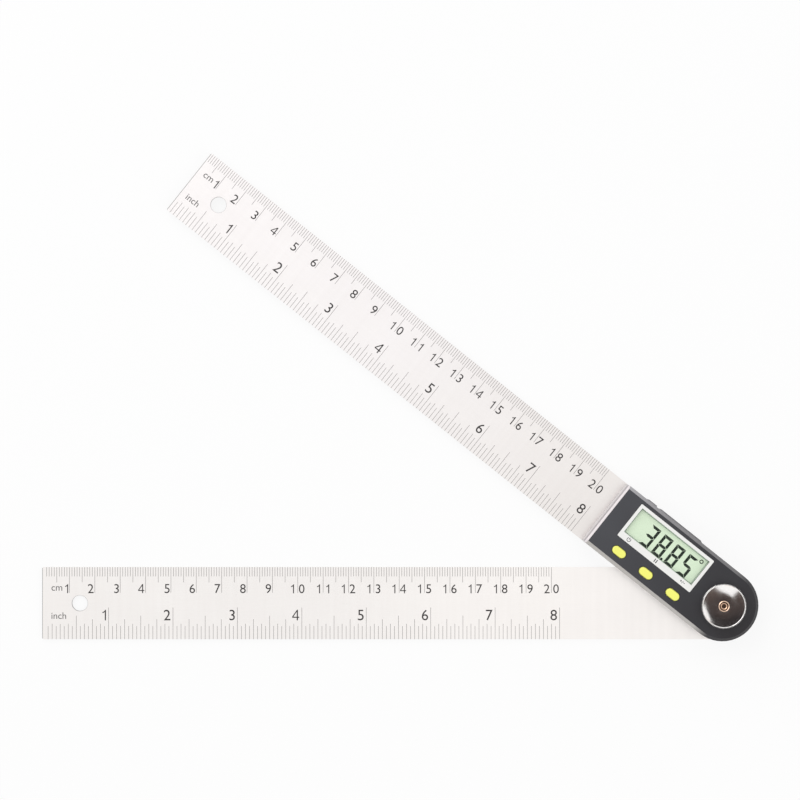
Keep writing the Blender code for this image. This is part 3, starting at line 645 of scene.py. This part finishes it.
def bar(x, y, width, height):
    """The outline of an upright bar round its middle."""
    return [(x - width / 2, y - height / 2), (x + width / 2, y - height / 2),
            (x + width / 2, y + height / 2), (x - width / 2, y + height / 2)]


print("marks stand", mark_rise / mm, "mm out of their surface")

# %% [markdown]
# ## The two scales
#
# Both rulers carry the same two scales, which start at the tip. On the base ruler they start a little
# inside it, as etching on sheared strip falls. Centimetres run along the +Y edge, with lines of three
# lengths. Inches run along the other edge, divided into sixteenths, with a length for each halving. A
# line's length follows from which divisions it falls on, so one loop draws each scale.

# %% Graduation lines
centimetre = 10 * mm
inch = 25.4 * mm
centimetres, inches = 20, 8
line_width = 0.15 * mm
millimetre_lines = {10: 10.1 * mm, 5: 6.0 * mm, 1: 3.65 * mm}
sixteenth_lines = {16: 12.5 * mm, 8: 9.3 * mm, 4: 7.9 * mm, 2: 6.1 * mm, 1: 5.2 * mm}
first_quarter = 4  # in sixteenths
short_quarter = 6.0 * mm  # the first quarter-inch line ends under the unit sign
base_start = tip + 0.7 * mm
arms = {
    "base": (base_arm, "base_arm", base_top, base_start),
    "display": (display_arm, "display_arm", display_top, tip),
}


def longest(lines, step):
    """The length of a line, by the coarsest division that it falls on."""
    return next(length for every, length in lines.items() if step % every == 0)


def graduations(zero):
    boxes = []
    for step in range(1, centimetres * 10 + 1):
        length = longest(millimetre_lines, step)
        x = zero + step * mm
        boxes.append(((x - line_width / 2, x + line_width / 2), (blade_half - length, blade_half)))
    for step in range(1, inches * 16 + 1):
        length = short_quarter if step == first_quarter else longest(sixteenth_lines, step)
        x = zero + step * inch / 16
        boxes.append(((x - line_width / 2, x + line_width / 2), (-blade_half, length - blade_half)))
    return boxes


for name, (arm, body, top, zero) in arms.items():
    piece = marks(f"{name}_graduations", graduations(zero), top, arm, body, line_ink)
    print(piece.name, "has", len(piece.data.polygons) // 6, "lines")

# %% [markdown]
# ## The numerals
#
# Numerals are text objects turned into meshes. Each is measured after it is made, so its height and the
# place of its edge are exact. The built-in lettering is a little thin, so its outline is grown by a
# thousandth.

# %% Lettering as meshes
letter_depth = 0.02 * mm
letter_growth = 0.001  # of the font's size


def lettering(text, height, place, align, top):
    """A word or a figure as a mesh, whose lower edge and whose left edge or middle are at a place."""
    font = bpy.data.curves.new("lettering", "FONT")
    font.body = text
    font.extrude = letter_depth / height
    font.offset = letter_growth
    font.resolution_u = 4
    mesh = solid_from(font, 0)
    xs = [v.co.x for v in mesh.vertices]
    ys = [v.co.y for v in mesh.vertices]
    size = height / (max(ys) - min(ys))
    anchor = min(xs) if align == "left" else (min(xs) + max(xs)) / 2
    for vertex in mesh.vertices:
        x, y, z = vertex.co
        up = top + mark_rise if z > 0 else top - mark_sink
        vertex.co = (place[0] + (x - anchor) * size, place[1] + (y - min(ys)) * size, up)
    return mesh


print("lettering ready")

# %% [markdown]
# Numbers below ten stand just short of their line, and those of two figures straddle it. The figures 1 and
# 4 are outlines of their own, since the built-in lettering draws them too thin or too closed. A small sign
# for the unit stands at the start of each scale.

# %% Numerals and unit signs on the rulers
drawn_figures = {  # outlines for a figure one high
    "1": [[(0.32, 0), (0.435, 0), (0.435, 1), (0.36, 1), (0.31, 0.91), (0.21, 0.83), (0.10, 0.78),
           (0.10, 0.675), (0.21, 0.715), (0.32, 0.78)]],
    "4": [[(0.45, 0), (0.565, 0), (0.565, 0.24), (0.69, 0.24), (0.69, 0.345), (0.565, 0.345), (0.565, 1),
           (0.47, 1), (0.02, 0.36), (0.02, 0.24), (0.45, 0.24)],
          [(0.45, 0.345), (0.45, 0.80), (0.13, 0.345)]],
}
figure_step = 1.02  # of the height, so that a number's line passes between its two figures
single_height, single_foot, single_gap = 3.6 * mm, 3.95 * mm, 0.5 * mm
double_height, double_foot = 3.55 * mm, 3.9 * mm
inch_height, inch_foot, inch_gap = 4.18 * mm, -6.77 * mm, 1.0 * mm
unit_start = 2.9 * mm
cm_height, cm_foot = 1.8 * mm, 4.9 * mm
inch_sign_height, inch_sign_foot = 2.6 * mm, -6.22 * mm


def numeral(number, height, x, y, align, top):
    """A number whose last figure ends at x, or whose middle is there."""
    figures = []
    for place, digit in enumerate(str(number)):
        middle = place * figure_step * height
        if digit in drawn_figures:
            loops = drawn_figures[digit]
            reach = max(u for u, v in loops[0]) + min(u for u, v in loops[0])
            loops = [[(middle + (u - reach / 2) * height, v * height) for u, v in loop] for loop in loops]
            figures.append(flat_mesh(loops, top + mark_rise, mark_rise + mark_sink))
        else:
            figures.append(lettering(digit, height, (middle, 0), "middle", top))
    mesh = joined("numeral", figures)
    xs = [v.co.x for v in mesh.vertices]
    anchor = max(xs) if align == "right" else (min(xs) + max(xs)) / 2
    mesh.transform(Matrix.Translation((x - anchor, y, 0)))
    return mesh


def numerals(zero, top):
    meshes = []
    for number in range(1, centimetres + 1):
        line = zero + number * centimetre
        if number < 10:
            meshes.append(numeral(number, single_height, line - single_gap, single_foot, "right", top))
        else:
            meshes.append(numeral(number, double_height, line, double_foot, "middle", top))
    for number in range(1, inches + 1):
        line = zero + number * inch
        meshes.append(numeral(number, inch_height, line - inch_gap, inch_foot, "right", top))
    return meshes


def unit_signs(zero, top):
    return [
        lettering("cm", cm_height, (zero + unit_start, cm_foot), "left", top),
        lettering("inch", inch_sign_height, (zero + unit_start, inch_sign_foot), "left", top),
    ]


for name, (arm, body, top, zero) in arms.items():
    for kind, drawn, colour in (("numerals", numerals, scale_ink), ("units", unit_signs, unit_ink)):
        mesh = joined(f"{name}_{kind}", drawn(zero, top))
        piece = keep(f"{name}_{kind}", mesh, arm, body, colour)
        print(piece.name, "has", len(piece.data.polygons), "faces")

# %% [markdown]
# ## The display
#
# Each figure has seven bars. Four-sided bars with slanted ends meet at the corners, and a six-sided one
# crosses the middle, with a hair-thin gap between neighbours. The figures stand almost upright, and a small
# shear leans them the way the real ones lean.

# %% The bars of a figure
figure_height = 9.1 * mm
figure_width = 4.25 * mm
figure_pitch = 6.15 * mm
stroke = 1.12 * mm
hair = 0.07 * mm
figure_foot = -1.2 * mm
lean = 0.02
bars_of = {"3": "abcdg", "8": "abcdefg", "5": "acdfg"}


def figure(digit, left):
    """The bars of one figure: a to f clockwise from the top, and g across the middle."""
    x0, x1 = left, left + figure_width
    y0, y2 = figure_foot, figure_foot + figure_height
    y1 = (y0 + y2) / 2
    end, deep, half = hair, hair + stroke, stroke / 2
    upper = [(x1, y2 - end), (x1 - stroke, y2 - deep), (x1 - stroke, y1 + end + half), (x1, y1 + end)]
    top = [(x0 + end, y2), (x0 + deep, y2 - stroke), (x1 - deep, y2 - stroke), (x1 - end, y2)]
    lower = [(x, 2 * y1 - y) for x, y in upper]
    bars = {
        "a": top,
        "b": upper,
        "c": lower,
        "d": [(x, 2 * y1 - y) for x, y in top],
        "e": [(x0 + x1 - x, y) for x, y in lower],
        "f": [(x0 + x1 - x, y) for x, y in upper],
        "g": [(x0 + 3 * end, y1), (x0 + deep, y1 + half), (x1 - deep, y1 + half), (x1 - 3 * end, y1),
              (x1 - deep, y1 - half), (x0 + deep, y1 - half)],
    }
    return [bars[letter] for letter in bars_of[digit]]


def leaning(loop):
    return [(x + (y - figure_foot) * lean, y) for x, y in loop]


print("bars of an 8:", len(bars_of["8"]))

# %% [markdown]
# The reading is the angle, with a point before its last two figures and a degree ring behind them.

# %% The reading
glass_top = arm_box("lcd_panel")[1].z
window_low, window_high = arm_box("display_window")
digits = "3885"
reading_margin = 3.55 * mm
point_size = 0.94 * mm
point_shift = 0.25 * mm
degree_gap, degree_lift = 1.35 * mm, 0.3 * mm
degree_outer, degree_inner = 0.84 * mm, 0.46 * mm


def ring(x, y, outer, inner, steps=32):
    turns = [2 * math.pi * i / steps for i in range(steps)]
    return [[(x + r * math.cos(a), y + r * math.sin(a)) for a in turns] for r in (outer, inner)]


last_right = window_high.x - reading_margin
shapes = []
for place, digit in enumerate(digits):
    left = last_right - figure_width - (len(digits) - 1 - place) * figure_pitch
    shapes += [[leaning(loop)] for loop in figure(digit, left)]
point_x = last_right - 2 * figure_pitch + (figure_pitch - figure_width) / 2 - point_shift
shapes.append([bar(point_x, figure_foot + point_size / 2, point_size, point_size)])
degree_y = figure_foot + figure_height + degree_lift
shapes.append(ring(last_right + degree_gap, degree_y, degree_outer, degree_inner))
printed("display_reading", shapes, glass_top, segment_ink)
print("display segments:", len(shapes))

# %% [markdown]
# Round the picture area the glass has a thin dark line, painted shadow where the window's edges shade it.

# %% The painted shadow line round the display
line_outside, line_inside = 0.02 * mm, 0.3 * mm


def frame_loop(margin):
    x0, x1 = window_low.x + margin, window_high.x - margin
    y0, y1 = window_low.y + margin, window_high.y - margin
    return [(x0, y0), (x1, y0), (x1, y1), (x0, y1)]


window_shadow_loops = [frame_loop(line_outside), frame_loop(line_inside)]
printed("display_line", [window_shadow_loops], glass_top, window_shadow_colour)
print("display line:", round((line_inside - line_outside) / mm, 2), "mm wide")

# %% [markdown]
# ## Signs on the bezel
#
# The strip over the keys carries a small sign for each: a power ring, a pair of bars for hold, and plus and
# minus. They are plain signs that any tool could carry.

# %% Key signs
bezel_low, bezel_high = arm_box("display_bezel")
sign_y = (bezel_low.y + window_low.y) / 2
keys = ["power", "hold", "sign"]
power_x, hold_x, sign_x = (sum(corner.x for corner in arm_box(f"button_{key}")) / 2 for key in keys)
thin = 0.24 * mm
power_radius = 0.88 * mm
power_opening = 0.6  # half of it, in radians
hold_half = 0.42 * mm
plus_size = 0.7 * mm
plus_half = 0.75 * mm
plus_y = sign_y + 0.1 * mm
plus_arm = 0.26 * mm
plus_arm_y = 0.22 * mm
slash_half, slash_reach, slash_width = 0.6 * mm, 0.25 * mm, 0.17 * mm
hold_size = (0.38 * mm, 1.5 * mm)
stem_y, stem_height = sign_y + 0.5 * mm, 0.9 * mm


def open_ring(x, y, radius, gap, steps=20):
    """A ring with an opening at its top, as one outline."""
    turns = [math.pi / 2 + gap + (2 * math.pi - 2 * gap) * i / steps for i in range(steps + 1)]
    outer = [(x + radius * math.cos(a), y + radius * math.sin(a)) for a in turns]
    inner = [(x + (radius - thin) * math.cos(a), y + (radius - thin) * math.sin(a)) for a in reversed(turns)]
    return outer + inner


def slash(x, y):
    """A stroke that leans to the right as it rises."""
    low, high = y - slash_half, y + slash_half
    left, right = x - slash_reach, x + slash_reach
    return [(left, low), (left + slash_width, low), (right, high), (right - slash_width, high)]


sign_shapes = [
    [open_ring(power_x, sign_y, power_radius, power_opening)],
    [bar(power_x, stem_y, thin, stem_height)],
    [bar(hold_x - hold_half, sign_y, *hold_size)],
    [bar(hold_x + hold_half, sign_y, *hold_size)],
    [bar(sign_x - plus_half, plus_y, plus_size, thin)],
    [bar(sign_x - plus_half, plus_y + plus_arm_y, thin, plus_arm)],
    [bar(sign_x - plus_half, plus_y - plus_arm_y, thin, plus_arm)],
    [slash(sign_x, sign_y)],
    [bar(sign_x + plus_half, plus_y, plus_size, thin)],
]
printed("key_signs", sign_shapes, bezel_high.z, label_ink)
print("key signs:", len(sign_shapes), "shapes")

# %% [markdown]
# ## Yellow keys
#
# A key is a stadium with a rounded rim and a slightly domed top, on the flange that keeps it in its well.
# It is lofted through stadium outlines that draw in as they rise: the offsets follow a quarter circle at
# the rim and then a flat arc to the middle.

# %% Rounded keys
def stadium(length, width, steps=12):
    """Points round a slot shape that is centred on the origin, counter-clockwise."""
    reach = (length - width) / 2
    right = [math.pi * (i / steps - 0.5) for i in range(steps + 1)]
    points = [(reach + width / 2 * math.cos(a), width / 2 * math.sin(a)) for a in right]
    return points + [(-x, -y) for x, y in points]


def loft(name, rings):
    """A closed mesh through rings with as many points each, capped at both ends."""
    work = bmesh.new()
    rows = [[work.verts.new(point) for point in ring_points] for ring_points in rings]
    for below, above in zip(rows, rows[1:]):
        for i in range(len(below)):
            j = (i + 1) % len(below)
            work.faces.new((below[i], below[j], above[j], above[i]))
    work.faces.new(reversed(rows[0]))
    work.faces.new(rows[-1])
    mesh = bpy.data.meshes.new(name)
    work.to_mesh(mesh)
    work.free()
    return mesh


def smooth(mesh, angle):
    """Rounds the shading over edges that bend by less than the angle."""
    mesh.shade_smooth()
    mesh.set_sharp_from_angle(angle=math.radians(angle))


flange_height = 0.6 * mm
key_length, key_width = 5.9 * mm, 3.2 * mm
rim = 0.4 * mm
rim_steps = 5
dome = 0.06 * mm
dome_shoulder, dome_crown = 0.4 * mm, 0.9 * mm


def key_outlines(low, high):
    """The inset and the height of each outline, from the flange up to the crown."""
    flange = (high.x - low.x - key_length) / 2
    outlines = [(-flange, low.z), (-flange, low.z + flange_height), (0, low.z + flange_height)]
    outlines += [
        (rim * (1 - math.cos(a)), high.z - dome - rim + rim * math.sin(a))
        for a in [math.pi / 2 * i / rim_steps for i in range(rim_steps + 1)]
    ]
    return outlines + [(rim + dome_shoulder, high.z - dome * 0.4), (rim + dome_crown, high.z)]


for key in keys:
    low, high = arm_box(f"button_{key}")
    centre = (low + high) / 2
    outlines = key_outlines(low, high)
    rings = [
        [(centre.x + x, centre.y + y, z) for x, y in stadium(key_length - 2 * inset, key_width - 2 * inset)]
        for inset, z in outlines
    ]
    mesh = loft(f"key_{key}", rings)
    smooth(mesh, 40)
    piece = keep(f"key_{key}", mesh, display_arm, f"button_{key}", key_yellow)
    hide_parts(f"button_{key}")
print("keys lofted through", len(outlines), "outlines each")

# %% [markdown]
# ## The knob
#
# The knob is turned on a lathe: a dished top with fine spinning marks, a raised eye with a dimple in its
# centre, and a knurled rim. A ring of points is swept along the profile. On the rim each second pair of
# points is drawn in, which makes the teeth, and the top stays round. The profile has four stretches: the
# eye, the dish, the knurled edge, and the hub with its bore.

# %% Knob profile
knob_low, knob_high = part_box("lock_knob")
knob_radius = knob_high.x
knob_top = knob_high.z
cap_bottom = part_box("housing_cover")[1].z + 0.2 * mm
rim_radius = knob_radius - 0.4 * mm
dish_bottom = knob_top - 0.24 * mm
dish_rise = 0.12 * mm
dish_inner, dish_outer = 2.12 * mm, rim_radius - 0.2 * mm
dish_steps = 8
eye_floor = dish_bottom - 0.2 * mm
eye_lip = dish_bottom + 0.15 * mm
centre_radius = 0.3 * mm
hub_radius = 3.6 * mm
bore_radius, bore_end = 2.65 * mm, knob_top - 1.15 * mm


def knob_profile():
    """Radius, height and share of the tooth depth, from the middle of the top down to the hub."""
    eye = [
        (centre_radius, eye_floor, 0), (0.95 * mm, eye_floor, 0), (1.12 * mm, eye_floor + 0.12 * mm, 0),
        (1.25 * mm, eye_lip, 0), (1.78 * mm, eye_lip, 0), (1.9 * mm, eye_lip - 0.07 * mm, 0),
        (2.1 * mm, dish_bottom, 0),
    ]
    shares = [i / dish_steps for i in range(dish_steps + 1)]
    dish = [
        (dish_inner + (dish_outer - dish_inner) * share, dish_bottom + dish_rise * share**2, 0)
        for share in shares
    ]
    edge = [
        (rim_radius - 0.1 * mm, knob_top - 0.02 * mm, 0), (rim_radius, knob_top, 0),
        (rim_radius + 0.12 * mm, knob_top - 0.05 * mm, 0.6), (knob_radius, knob_top - 0.3 * mm, 1),
        (knob_radius, cap_bottom + 0.4 * mm, 1), (rim_radius, cap_bottom, 0),
    ]
    hub = [
        (hub_radius, cap_bottom, 0), (hub_radius, knob_low.z, 0), (bore_radius, knob_low.z, 0),
        (bore_radius, bore_end, 0), (centre_radius, bore_end, 0),
    ]
    return eye + dish + edge + hub


print("knob profile:", len(knob_profile()), "points")

# %% Knob teeth
teeth = 96
tooth = 0.3 * mm
points_per_tooth = 4


def knob_rings():
    """The rings of points round the axis, from the hub up to the middle of the top."""
    steps = teeth * points_per_tooth
    rings = []
    for radius, height, depth in knob_profile():
        points = []
        for i in range(steps):
            valley = 1 if i % points_per_tooth in (0, 1) else 0
            r = radius - tooth * depth * valley
            angle = 2 * math.pi * (i + 0.5) / steps
            points.append((r * math.cos(angle), r * math.sin(angle), height))
        rings.append(points)
    return rings[::-1]


print("knob teeth:", teeth)

# %% [markdown]
# Chrome has almost no colour of its own, and what shows is its surroundings. The spinning marks are rings
# round the axis, far finer than the teeth, and so shallow that they only soften what the dish mirrors. The
# eye in the middle is coppery.

# %% Chrome finish and the knob's mesh
eye_radius = 2.11 * mm
eye_copper = (0.78, 0.56, 0.42)


def spun_chrome():
    finish = Finish("spun_chrome", metallic=1.0)
    rings = finish.lathe_rings(0.05 * mm, 0.8, 2.0)
    smear = finish.grains(1.6 * mm, 3.0)
    chrome = finish.blend(smear, (0.93, 0.90, 0.88), (1.0, 0.985, 0.97))
    from_axis = {0: finish.flat_place()}
    radius = finish.node("ShaderNodeVectorMath", {"operation": "LENGTH"}, from_axis, "Value")
    finish.set("Base Color", finish.blend(radius < eye_radius, chrome, eye_copper))
    finish.set("Roughness", 0.025 + smear * 0.03)
    finish.bump(rings, 0.0003 * mm, 0.08)
    return finish.material


knob_mesh = loft("chrome_knob", knob_rings())
smooth(knob_mesh, 18)
knob = keep("chrome_knob", knob_mesh, base_arm, "lock_knob", spun_chrome())
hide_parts("lock_knob")
print("knob:", len(knob_mesh.polygons), "faces")

# %% [markdown]
# ## Floor and light
#
# The tool lies on a white sweep that has no edge in the picture. The floor is white to the camera and to
# reflections, through the light path, and still takes part of its brightness from the lamps, so it keeps
# the soft shadow under the arms.

# %% Floor
floor_size = 6  # metres
floor_glow = 0.83
bpy.ops.mesh.primitive_plane_add(size=floor_size, location=(0, 0, -0.05 * mm))
floor = bpy.context.object
floor.name = "white_floor"
sweep = Finish("white_sweep")
sweep.set("Base Color", (0.93, 0.93, 0.93, 1))
sweep.set("Roughness", 0.9)
glow = sweep.node("ShaderNodeEmission", None, {"Color": (1, 1, 1, 1), "Strength": 1.0}, "Emission")
weight = sweep.seen_directly() * floor_glow
lit = Wire(sweep, sweep.surface.outputs["BSDF"])
output = sweep.tree.nodes["Material Output"]
mixed = sweep.node("ShaderNodeMixShader", None, {0: weight, 1: lit, 2: glow}, "Shader")
sweep.plug(output.inputs["Surface"], mixed)
floor.data.materials.append(sweep.material)
print("floor at", floor.location.z, "m")

# %% [markdown]
# The room is white to the camera and in reflections, and lights the tool a little more weakly. One broad
# lamp from the upper left and a weaker one from the lower right do the rest, and give the soft shadows.

# %% World and lamps
ambient = 0.74
world = bpy.data.worlds.new("studio")
bpy.context.scene.world = world
world.use_nodes = True
room = Nodes(world.node_tree)
background = room.tree.nodes["Background"]
background.inputs["Color"].default_value = (1, 1, 1, 1)
room.plug(background.inputs["Strength"], room.seen_directly() * (1 - ambient) + ambient)


def soft_lamp(name, place, target, size, power):
    """A round lamp of a size in metres and a power in watts, which looks at its target."""
    lamp = bpy.data.lights.new(name, "AREA")
    lamp.shape = "DISK"
    lamp.size = size
    lamp.energy = power
    holder = bpy.data.objects.new(name, lamp)
    holder.location = place
    aim = Vector(target) - Vector(place)
    holder.rotation_euler = aim.to_track_quat("-Z", "Y").to_euler()
    bpy.context.scene.collection.objects.link(holder)
    return holder


middle = (cad_box[0] + cad_box[1]) / 2
soft_lamp("key_lamp", (-0.9, 1.0, 0.75), middle, 1.8, 10.0)
soft_lamp("fill_lamp", (0.8, -0.5, 0.6), middle, 0.9, 2.0)
print("lamps placed round", [round(v, 3) for v in middle])

# %% [markdown]
# ## Camera
#
# The picture was taken from straight above with a long lens. The distance shows in how little the upper
# faces spread against the lower ones, and the focal length follows from the length of the ruler.

# %% Camera
camera_height = 0.840
view_centre = (-0.1258, 0.0801)
pixels_per_radian = 2128.3
image_width = 800
sensor_width = 36.0
lens = bpy.data.cameras.new("camera")
lens.sensor_width = sensor_width
lens.lens = pixels_per_radian * sensor_width / image_width
lens.clip_start = 0.01
camera = bpy.data.objects.new("camera", lens)
camera.location = (*view_centre, camera_height)
bpy.context.scene.collection.objects.link(camera)
bpy.context.scene.camera = camera
print("lens:", round(lens.lens, 1), "mm")

# %% [markdown]
# ## The black card
#
# Polished metal is only as dark as what it mirrors. A small dark card hangs where the knob's dish mirrors
# it into the lens, and only mirrored rays see it. The dish turns the picture round, so the card's outline
# is the knob's dark shape turned by half a turn: a sector missing at one side, and a shallower bite beside
# it. Its paint warms towards one side, as the browns in the dish do.

# %% The card
card_height = 0.3
card_fade = 7 * mm
card_dark, card_warm = (0.020, 0.015, 0.016), (0.085, 0.058, 0.050)
knob_eye = Vector((0, 0, knob_top))
incoming = knob_eye - camera.location
mirrored = Vector((incoming.x, incoming.y, -incoming.z))
card_centre = knob_eye + mirrored * (card_height / mirrored.z)
card_reach = 17  # reaches are in millimetres, and stand after directions in degrees
card_bite = [(-20, card_reach), (-8, 12.4), (5, 10.7), (25, 9.6), (42, 10.9), (58, 13.9)]
card_body = [(turn, card_reach) for turn in (68, 90, 120, 150, 180, 210, 227)]
card_sector = [(227.5, 3.5), (238, 3.9), (255, 4.8), (276, 6), (289, 9.1), (296, 12.8), (303, card_reach)]
card_points = [
    card_centre + Matrix.Rotation(math.radians(turn), 3, "Z") @ Vector((reach * mm, 0, 0))
    for turn, reach in card_bite + card_body + card_sector
]
card_mesh = bpy.data.meshes.new("dark_card")
card_mesh.from_pydata(card_points, [], [range(len(card_points))])
paint = Finish("dark_card")
across_card = paint.axis(paint.place(), "Y")
warm_share = paint.fade(across_card, card_centre.y + card_fade, card_centre.y - card_fade)
paint.set("Base Color", paint.blend(warm_share, card_dark, card_warm))
paint.set("Roughness", 0.9)
card_mesh.materials.append(paint.material)
card = bpy.data.objects.new("dark_card", card_mesh)
bpy.context.scene.collection.objects.link(card)
card.visible_camera = False
card.visible_diffuse = False
card.visible_transmission = False
card.visible_shadow = False
print("card at", [round(v, 3) for v in card_centre])

# %% [markdown]
# The Standard view transform shows each colour as it is written, with no film-like roll-off.

# %% Picture settings
bpy.context.scene.view_settings.view_transform = "Standard"
print("view transform:", bpy.context.scene.view_settings.view_transform)

# %% [markdown]
# ## Last cell
#
# The scene is brought up to date.

# %% The end
bpy.context.view_layer.update()
